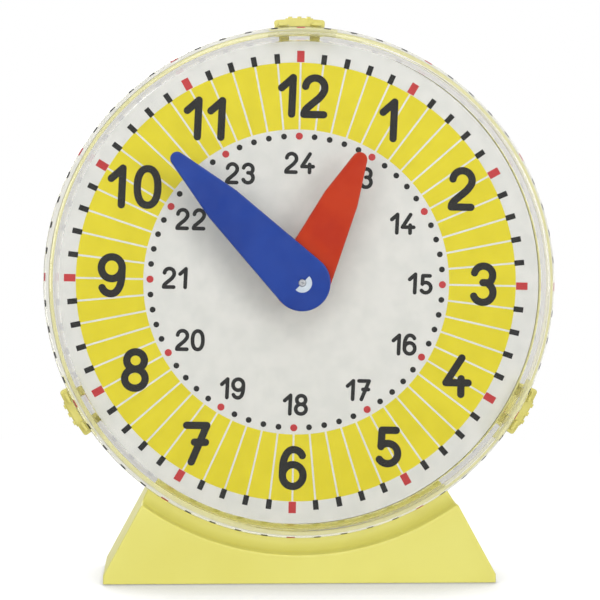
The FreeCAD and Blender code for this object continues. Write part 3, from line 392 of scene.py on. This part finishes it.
# Numeral, middle of its box on the card (right, up), and its width where it has two digits.
NUMERALS = [
    ("12", (1.87, 114.52), 31.2), ("1", (55.02, 100.77), 0), ("2", (101.07, 59.32), 0),
    ("3", (115.67, 0.83), 0), ("4", (100.39, -56.23), 0), ("5", (58.84, -99.88), 0),
    ("6", (-0.08, -114.64), 0), ("7", (-59.74, -100.58), 0), ("8", (-98.30, -55.85), 0),
    ("9", (-113.79, 2.07), 0), ("10", (-100.77, 56.62), 33.25), ("11", (-58.46, 99.36), 26.1),
]
LATE_NUMERALS = [
    ("24", (0.54, 73.25), 19.1), ("13", (38.2, 64.85), 15.5), ("14", (64.91, 37.13), 16.0),
    ("15", (76.44, 0.45), 15.5), ("16", (67.20, -37.37), 15.6), ("17", (39.37, -65.94), 15.6),
    ("18", (0.74, -75.54), 15.6), ("19", (-38.13, -66.17), 15.7), ("20", (-64.94, -36.97), 18.3),
    ("21", (-74.96, 1.09), 15.85), ("22", (-65.90, 37.36), 18.8), ("23", (-36.13, 66.13), 18.5),
]


def dial_print(yellow, black, red):
    """All the ink on the dial: the yellow ring, minute marks, inner dots and the two rings of numerals."""
    ink("dial_yellow_ring", fields(*FIELD_RING, FIELD_GAP), FIELD_LIFT, yellow, RING_HEIGHT)
    ink("dial_minute_marks", marks(MINUTES, *MINUTE_MARK), MARK_LIFT, black, RING_HEIGHT)
    ink("dial_hour_marks", marks(HOURS, *HOUR_MARK), MARK_LIFT, red, RING_HEIGHT)
    ink("dial_minute_dots", dots(MINUTES, DOT_RING, MINUTE_DOT), MARK_LIFT, black, RING_HEIGHT)
    ink("dial_hour_dots", dots(HOURS, DOT_RING, HOUR_DOT), MARK_LIFT, red, RING_HEIGHT)
    large = [
        bar for text, place, width in NUMERALS for bar in numeral(text, place, *LARGE_NUMERAL, width)
    ]
    small = [
        bar for text, place, width in LATE_NUMERALS for bar in numeral(text, place, *SMALL_NUMERAL, width)
    ]
    ink("dial_numerals_1_to_12", large, NUMERAL_LIFT, black)
    ink("dial_numerals_13_to_24", small, NUMERAL_LIFT, black)


# Painted refraction on the rim

# Fine marks painted on the rim stand in for the dial's marks that the rounded rim refracts. Where they
# lie on the quarter ellipse of the rim, in degrees from its outermost point, and how far the eye sees the
# dial's marks turned and shifted there.
RIM_MARK_LEAN = (27, 46)
RIM_MARK_STEPS = 6
RIM_MARK_TURN = 1.15
RIM_MARK_SHIFT = (-2.7, 0.4)
RIM_MARK_RADIUS = 155.0

# Widths along the rim, measured at a radius, and how far the marks stand over and under its surface.
RIM_MINUTE_WIDTH = 4.0
RIM_HOUR_WIDTH = 5.0
RIM_WIDTH_RADIUS = 154.4
RIM_MARK_LIFT = 0.02
RIM_MARK_SINK = 0.03


def painted_rim_refractions(name, angles, width, finish):
    """Painted refraction: fine marks on the rounded rim, in line with the dial's marks as the eye sees them
    there through the plastic. A mark is a bar that runs along the quarter ellipse of the section, with a
    front and a back skin."""
    place = around(angles - math.radians(RIM_MARK_TURN), RIM_MARK_RADIUS) + RIM_MARK_SHIFT
    middle = np.arctan2(place[:, 1], place[:, 0])[:, None]
    lean = np.radians(np.linspace(*RIM_MARK_LEAN, RIM_MARK_STEPS))
    half = width / 2 / RIM_WIDTH_RADIUS
    corners = []
    for lift, side in (
        (RIM_MARK_LIFT, -half), (RIM_MARK_LIFT, half), (-RIM_MARK_SINK, half), (-RIM_MARK_SINK, -half),
    ):
        radius = RIM_CENTRE[0] + (RIM_SIZE[0] + lift) * np.cos(lean)
        depth = RIM_CENTRE[1] - (RIM_SIZE[1] + lift) * np.sin(lean)
        x = radius * np.cos(middle + side)
        z = AXIS_HEIGHT + radius * np.sin(middle + side)
        corners.append(np.stack([x, np.broadcast_to(depth, x.shape), z], axis=-1))
    points = np.stack(corners, axis=2).reshape(-1, 3)
    first_corner = 4 * RIM_MARK_STEPS * np.arange(len(angles))[:, None, None]
    faces = (bar_faces(RIM_MARK_STEPS, False) + first_corner).reshape(-1, 4)
    make_piece(name, points, faces, finish)


# Finishes

# Most of a noise pattern's values lie in these ranges: the first is spread over a finish's gloss, and
# the second over its two tones.
GLOSS_NOISE = (0.3, 0.7)
TONE_NOISE = (0.35, 0.65)
WAVE_LENGTH = 28.0

STYRENE_IOR = 1.58
HAZE_RADII = (148.0, 151.5)
HAZE = 0.11


def linear(code):
    """A colour written as six sRGB hex digits, made linear for the shader."""
    parts = np.array([int(code[i:i + 2], 16) for i in (0, 2, 4)]) / 255
    parts = np.where(parts <= 0.04045, parts / 12.92, ((parts + 0.055) / 1.055) ** 2.4)
    return (*parts.tolist(), 1.0)


def add(tree, kind, inputs=None, **settings):
    """Adds a shader node, applies its settings, and sets each input, or links it where it is given a
    socket. Returns the node's outputs."""
    made = tree.nodes.new("ShaderNode" + kind)
    for name, value in settings.items():
        setattr(made, name, value)
    for name, value in (inputs or {}).items():
        if isinstance(value, bpy.types.NodeSocket):
            tree.links.new(value, made.inputs[name])
        else:
            made.inputs[name].default_value = value
    return made.outputs


def blotches(place, size, detail, roughness=0.5):
    """Inputs of a noise pattern whose blotches are about size millimetres across."""
    return {"Vector": place, "Scale": 1 / (size * MM), "Detail": detail, "Roughness": roughness}


def spread(value, source, target=(0.0, 1.0)):
    """Inputs that spread a value's source range over a target range."""
    return {
        "Value": value,
        "From Min": source[0], "From Max": source[1],
        "To Min": target[0], "To Max": target[1],
    }


def new_finish(name):
    """An empty material and its shader tree."""
    finish = bpy.data.materials.new(name)
    finish.use_nodes = True
    finish.node_tree.nodes.clear()
    return finish, finish.node_tree


def uneven_gloss(tree, place, size, detail, gloss):
    """Roughness that wanders between two values in blotches about size millimetres across."""
    pattern = add(tree, "TexNoise", blotches(place, size, detail))["Fac"]
    return add(tree, "MapRange", spread(pattern, GLOSS_NOISE, gloss))["Result"]


def surface(
    name, low, high, gloss, grain,
    cloud=45.0, grain_depth=0.004, wave=0.0, stretch=(1, 1, 1), edge=0.0, sockets=None,
):
    """An opaque finish: two near tones in clouds, uneven gloss, and a fine grain as bump. Clouds and
    grain are about so many millimetres across, and a stretch under 1 draws the grain out along that
    axis. A wave adds the slow unevenness of a moulded wall, in millimetres of height. An edge rounds
    the light on corners over that many millimetres, as a mould's worn corner does. Sockets are
    further values of the shader's own."""
    finish, tree = new_finish(name)
    place = add(tree, "TexCoord")["Object"]
    clouds = add(tree, "TexNoise", blotches(place, cloud, 3.0))["Fac"]
    tone = add(tree, "ValToRGB", {"Fac": clouds})["Color"]
    for stop, position, code in zip(tree.nodes[-1].color_ramp.elements, TONE_NOISE, (low, high)):
        stop.position = position
        stop.color = linear(code)
    streaks = add(tree, "Mapping", {"Vector": place, "Scale": stretch})["Vector"]
    fine = add(tree, "TexNoise", blotches(streaks, grain, 3.0, 0.6))["Fac"]
    bump = {"Height": fine, "Strength": 1.0, "Distance": grain_depth * MM}
    if edge:
        bump["Normal"] = add(tree, "Bevel", {"Radius": edge * MM}, samples=6)["Normal"]
    normal = add(tree, "Bump", bump)["Normal"]
    if wave:
        slow = add(tree, "TexNoise", blotches(place, WAVE_LENGTH, 1.0))["Fac"]
        swell = {"Height": slow, "Strength": 1.0, "Distance": wave * MM, "Normal": normal}
        normal = add(tree, "Bump", swell)["Normal"]
    shader = add(tree, "BsdfPrincipled", {
        "Base Color": tone,
        "Roughness": uneven_gloss(tree, place, cloud / 3, 4.0, gloss),
        "Normal": normal,
        **(sockets or {}),
    })["BSDF"]
    add(tree, "OutputMaterial", {"Surface": shader})
    return finish


def clear_styrene():
    """Polished clear styrene, with a faint haze of scuffs on the handled rim that grows with the
    distance from the clock's axis. Light on its way to a lamp, and light scattered from a matt
    surface, passes straight through it and loses what two faces reflect."""
    finish, tree = new_finish("clear_polished_styrene")
    place = add(tree, "TexCoord")["Object"]
    polished = add(tree, "BsdfPrincipled", {
        "Base Color": linear("fcfbf8"),
        "Roughness": uneven_gloss(tree, place, 9.0, 2.0, (0.0, 0.02)),
        "Transmission Weight": 1.0,
        "IOR": STYRENE_IOR,
    })["BSDF"]
    scuffs = add(tree, "BsdfDiffuse", {"Color": linear("f4f0de")})["BSDF"]
    from_axis = add(tree, "VectorMath", {0: place, 1: (0, 0, -AXIS_HEIGHT * MM)}, operation="ADD")["Vector"]
    flat = add(tree, "VectorMath", {0: from_axis, 1: (1, 0, 1)}, operation="MULTIPLY")["Vector"]
    radius = add(tree, "VectorMath", {0: flat}, operation="LENGTH")["Value"]
    haze_radii = [limit * MM for limit in HAZE_RADII]
    haze = add(tree, "MapRange", spread(radius, haze_radii, (0.0, HAZE)))["Result"]
    handled = add(tree, "MixShader", {0: haze, 1: polished, 2: scuffs})["Shader"]
    through = add(tree, "BsdfTransparent", {"Color": (0.95, 0.95, 0.95, 1)})["BSDF"]
    path = add(tree, "LightPath")
    straight = add(tree, "Math", {0: path["Is Shadow Ray"], 1: path["Is Diffuse Ray"]}, operation="MAXIMUM")
    mixed = add(tree, "MixShader", {0: straight[0], 1: handled, 2: through})["Shader"]
    add(tree, "OutputMaterial", {"Surface": mixed})
    return finish


def painted_rim_refraction_finish(name, code):
    """A painted refraction of the dial's marks on the rounded rim, coloured like ink and shown from the
    front only: where its skin faces back, into the plastic, it is clear."""
    finish, tree = new_finish(name)
    coordinates = add(tree, "TexCoord")
    coloured = add(tree, "BsdfPrincipled", {
        "Base Color": linear(code),
        "Roughness": uneven_gloss(tree, coordinates["Object"], 6.0, 2.0, (0.4, 0.5)),
        "Specular IOR Level": 0.3,
    })["BSDF"]
    clear = add(tree, "BsdfTransparent", {"Color": (1, 1, 1, 1)})["BSDF"]
    facing = add(tree, "SeparateXYZ", {0: coordinates["Normal"]})["Y"]
    backwards = add(tree, "Math", {0: facing, 1: 0.0}, operation="GREATER_THAN")[0]
    mixed = add(tree, "MixShader", {0: backwards, 1: coloured, 2: clear})["Shader"]
    add(tree, "OutputMaterial", {"Surface": mixed})
    return finish


# Moulded grain is really about 0.1 mm across. A pixel of the picture is 0.6 mm, so the grain is drawn
# 0.25 to 0.6 mm across, as coarse as it needs to show.
FINISHES = {
    # Injection-moulded shell: pale yellow with a faint greenish side, half gloss, slow waves in the wall.
    "yellow_shell": surface(
        "half_gloss_yellow_styrene", "dfdb94", "e4e09e", gloss=(0.3, 0.42), grain=0.5, wave=0.02, edge=0.5,
    ),
    # The catches are polished by fingers: a deeper yellow, glossier, with sharper lights on the grip ribs.
    "yellow_catch": surface(
        "glossy_yellow_catch", "d2c96a", "d9d076", gloss=(0.26, 0.36), grain=0.6,
        cloud=12.0, grain_depth=0.002, edge=0.6,
    ),
    # The base has a chalkier yellow with a fine spark-eroded satin grain.
    "yellow_stand": surface(
        "satin_pale_yellow_styrene", "ddd66e", "e1db76", gloss=(0.3, 0.42), grain=0.45,
        cloud=60.0, grain_depth=0.008, wave=0.02, edge=0.9,
    ),
    # The tray is plain moulded white, a little duller than the shell.
    "white_tray": surface("satin_white_styrene", "dcdcd6", "e2e2dc", gloss=(0.45, 0.55), grain=0.5),
    # The card is matt, with the faint cloudiness of pressed fibres.
    "printed_card": surface(
        "matt_white_card", "e0e1dd", "e8e8e4", gloss=(0.6, 0.72), grain=0.35, cloud=9.0, grain_depth=0.006,
    ),
    # Both hands are through-coloured plastic with a soft sheen, a satin grain and softly rounded edges.
    "blue_hand": surface(
        "satin_blue_plastic", "0c348a", "143c94", gloss=(0.3, 0.4), grain=0.4,
        cloud=20.0, grain_depth=0.005, edge=0.9,
    ),
    "red_hand": surface(
        "satin_red_plastic", "ae2804", "b83206", gloss=(0.3, 0.4), grain=0.4,
        cloud=20.0, grain_depth=0.005, edge=0.9, sockets={"Specular IOR Level": 0.35},
    ),
    # Acetal looks waxy: bluish white for the arbors, creamier for the gears.
    "white_arbor": surface(
        "waxy_white_acetal", "bcc6d0", "c8d1da", gloss=(0.3, 0.4), grain=0.4, cloud=5.0, grain_depth=0.003,
    ),
    "gear_plastic": surface(
        "natural_acetal_gear", "d8d4c6", "e0dccf", gloss=(0.35, 0.45), grain=0.4,
        cloud=8.0, grain_depth=0.003,
    ),
    # The plate behind the dial is dull grey, with a coarser moulded grain.
    "grey_plate": surface(
        "grey_moulded_plate", "7c7f82", "868a8c", gloss=(0.45, 0.55), grain=0.5,
        cloud=15.0, grain_depth=0.006,
    ),
    # Bright steel, with fine streaks drawn out along the depth.
    "steel": surface(
        "bright_turned_steel", "d2d4d8", "dee0e2", gloss=(0.4, 0.55), grain=0.25,
        cloud=3.0, stretch=(1, 0.2, 1), sockets={"Metallic": 1.0},
    ),
    # Zinc plating: a little darker and bluer in places, with a bright soft shine.
    "zinc_screw": surface(
        "zinc_plated_steel", "a9adb2", "bcc0c6", gloss=(0.28, 0.42), grain=0.3,
        cloud=2.0, grain_depth=0.003, sockets={"Metallic": 1.0},
    ),
    # The foot pads are matt and dark, with a slightly rough skin.
    "foot_rubber": surface(
        "soft_grey_rubber", "3d3d3d", "4a4a49", gloss=(0.7, 0.85), grain=0.3, cloud=4.0, grain_depth=0.01,
    ),
}
# Screen-printed inks lie matt on the card, slightly uneven where the screen let more or less through.
YELLOW_INK = surface(
    "yellow_screen_ink", "e4d510", "eadb1a", gloss=(0.5, 0.62), grain=0.4,
    cloud=14.0, sockets={"Specular IOR Level": 0.25},
)
BLACK_INK = surface(
    "black_screen_ink", "0c0c0c", "141414", gloss=(0.5, 0.62), grain=0.4,
    cloud=10.0, sockets={"Specular IOR Level": 0.2},
)
RED_INK = surface(
    "red_screen_ink", "c22c2f", "ca3438", gloss=(0.5, 0.62), grain=0.4,
    cloud=10.0, sockets={"Specular IOR Level": 0.25},
)

for row in frame["record"]["subparts"]:
    for slot in nodes[row["node"]].material_slots:
        slot.material = FINISHES.get(row["material_slot"], slot.material)

cover(clear_styrene())
dial_print(YELLOW_INK, BLACK_INK, RED_INK)
# These rim marks are painted refraction: the dial's minute and hour marks as the rounded rim shows them.
painted_rim_refractions("rim_minute_painted_refraction", MINUTES, RIM_MINUTE_WIDTH, painted_rim_refraction_finish("black_painted_rim_refraction", "2a2a2c"))
painted_rim_refractions("rim_hour_painted_refraction", HOURS, RIM_HOUR_WIDTH, painted_rim_refraction_finish("red_painted_rim_refraction", "b8484c"))


# Studio

# Lengths from here on are in metres. The room is dim in front of the object and white behind it, by
# the depth that a direction of length 1 has.
ROOM_DEPTHS = (-0.6, 0.85)
ROOM_LEVELS = (0.33, 1.0)
SKY_COLOUR = (0.98, 0.99, 1, 1)
SKY_LEVEL = 0.53

# The floor glows less where less of the sky is open within a short reach, a painted contact shadow near
# the object, and is plain white far off.
FLOOR_HALF_WIDTH = 4
FLOOR_GREY = (0.8, 0.8, 0.8, 1)
SHADED_GREY = (0.45, 0.45, 0.45, 1)
SHADE_REACH = 0.055
OPEN_SKY = (0.55, 1.0)
PAINTED_SHADOW_GLOW_LEVELS = (0.33, 0.82)
PLAIN_WHITE_FROM = (0.25, 0.6)

# Name, place, width and watts of each soft lamp.
LAMPS = [
    ("overhead_softbox", (0.06, -1.3, 1.2), 1.0, 9.4),
    ("left_softbox", (-1.0, -1.35, 0.4), 0.6, 5.4),
    ("right_softbox", (1.05, -1.35, 0.4), 0.6, 5.5),
    ("back_softbox", (-0.4, 1.2, 0.8), 0.8, 6.0),
]

# The photograph's eye. The turn is in degrees, and the lens and its sensor are in millimetres.
CAMERA_PLACE = (-0.079, -0.729, 0.201)
CAMERA_TURN = -1.05
CAMERA_SHIFT = (0.1813, -0.0788)
CAMERA_LENS = 70.6
CAMERA_SENSOR = 36
CAMERA_NEAREST = 0.01


def seen_directly(tree):
    """One for what the eye sees, straight or in gloss or through clear plastic, and zero otherwise."""
    path = add(tree, "LightPath")
    bounced = {0: path["Is Glossy Ray"], 1: path["Is Transmission Ray"]}
    shiny = add(tree, "Math", bounced, operation="MAXIMUM")[0]
    return add(tree, "Math", {0: path["Is Camera Ray"], 1: shiny}, operation="MAXIMUM")[0]


def room_level(tree, direction):
    """How bright the room is in a direction: dim in front of the object, white behind it."""
    depth = add(tree, "SeparateXYZ", {0: direction})["Y"]
    return add(tree, "MapRange", spread(depth, ROOM_DEPTHS, ROOM_LEVELS))["Result"]


def studio_world():
    """White all round for the eye, and an even soft light for the object. The room in front of the
    object, which only gloss shows, is darker than the white behind it."""
    world = bpy.data.worlds.new("studio")
    scene.world = world
    world.use_nodes = True
    tree = world.node_tree
    tree.nodes.clear()
    room = room_level(tree, add(tree, "TexCoord")["Generated"])
    path = add(tree, "LightPath")
    strength = add(tree, "Math", {0: room, 1: path["Is Camera Ray"]}, operation="MAXIMUM")[0]
    white = add(tree, "Background", {"Color": (1, 1, 1, 1), "Strength": strength})["Background"]
    light = add(tree, "Background", {"Color": SKY_COLOUR, "Strength": SKY_LEVEL})["Background"]
    mixed = add(tree, "MixShader", {0: seen_directly(tree), 1: light, 2: white})["Shader"]
    add(tree, "OutputWorld", {"Surface": mixed})


def floor_finish():
    """For the eye the floor glows just enough to be white where no shadow falls, and a little less close
    to the base: a painted contact shadow, drawn from how much of the sky is open there. Far from the object
    it is plain white. Gloss and clear plastic see it as bright as the room in the same direction from the
    dial."""
    finish, tree = new_finish("pale_floor")
    place = add(tree, "TexCoord")["Object"]
    distance = add(tree, "VectorMath", {0: place}, operation="LENGTH")["Value"]
    far = add(tree, "MapRange", spread(distance, PLAIN_WHITE_FROM))["Result"]
    # Painted contact shadow: the floor's glow drops where ambient occlusion finds the base close by.
    open_sky = add(tree, "AmbientOcclusion", {"Distance": SHADE_REACH}, samples=8)["AO"]
    painted_shadow_glow_level = add(tree, "MapRange", spread(open_sky, OPEN_SKY, PAINTED_SHADOW_GLOW_LEVELS))["Result"]
    glow = add(tree, "Emission", {"Color": (1, 1, 1, 1), "Strength": painted_shadow_glow_level})["Emission"]
    shaded = add(tree, "BsdfDiffuse", {"Color": SHADED_GREY})["BSDF"]
    near = add(tree, "AddShader", {0: shaded, 1: glow})["Shader"]
    plain = add(tree, "Emission", {"Color": (1, 1, 1, 1), "Strength": 1.0})["Emission"]
    shown = add(tree, "MixShader", {0: far, 1: near, 2: plain})["Shader"]
    from_dial = add(tree, "VectorMath", {0: place, 1: (0, 0, -AXIS_HEIGHT * MM)}, operation="ADD")["Vector"]
    direction = add(tree, "VectorMath", {0: from_dial}, operation="NORMALIZE")["Vector"]
    mirror_level = room_level(tree, direction)
    mirrored = add(tree, "Emission", {"Color": (1, 1, 1, 1), "Strength": mirror_level})["Emission"]
    path = add(tree, "LightPath")
    looked_at = add(tree, "MixShader", {0: path["Is Camera Ray"], 1: mirrored, 2: shown})["Shader"]
    lit = add(tree, "BsdfDiffuse", {"Color": FLOOR_GREY})["BSDF"]
    mixed = add(tree, "MixShader", {0: seen_directly(tree), 1: lit, 2: looked_at})["Shader"]
    add(tree, "OutputMaterial", {"Surface": mixed})
    return finish


def studio_floor():
    """A pale floor, whose finish holds a painted contact shadow near the base."""
    mesh = bpy.data.meshes.new("floor")
    far = FLOOR_HALF_WIDTH
    mesh.from_pydata([(-far, -far, 0), (far, -far, 0), (far, far, 0), (-far, far, 0)], [], [(0, 1, 2, 3)])
    mesh.materials.append(floor_finish())
    floor = bpy.data.objects.new("floor", mesh)
    scene.collection.objects.link(floor)


def lamp(name, place, size, watts):
    """A square soft lamp that looks at the middle of the dial."""
    light = bpy.data.lights.new(name, "AREA")
    light.size = size
    light.energy = watts
    made = bpy.data.objects.new(name, light)
    scene.collection.objects.link(made)
    right, back, up = np.array(place) - (0, 0, AXIS_HEIGHT * MM)
    slope = math.atan2(up, math.hypot(right, back))
    made.location = place
    made.rotation_euler = (math.pi / 2 - slope, 0, math.atan2(right, -back))


def photo_camera():
    """The photograph's eye: a little left of the clock and above its axis, with the view shifted back
    to the clock."""
    data = bpy.data.cameras.new("photo_camera")
    data.sensor_width = CAMERA_SENSOR
    data.lens = CAMERA_LENS
    data.shift_x, data.shift_y = CAMERA_SHIFT
    data.clip_start = CAMERA_NEAREST
    made = bpy.data.objects.new("photo_camera", data)
    made.location = CAMERA_PLACE
    made.rotation_euler = (math.pi / 2, 0, math.radians(CAMERA_TURN))
    scene.collection.objects.link(made)
    scene.camera = made


studio_world()
studio_floor()
for softbox in LAMPS:
    lamp(*softbox)
photo_camera()
scene.view_settings.view_transform = "Standard"
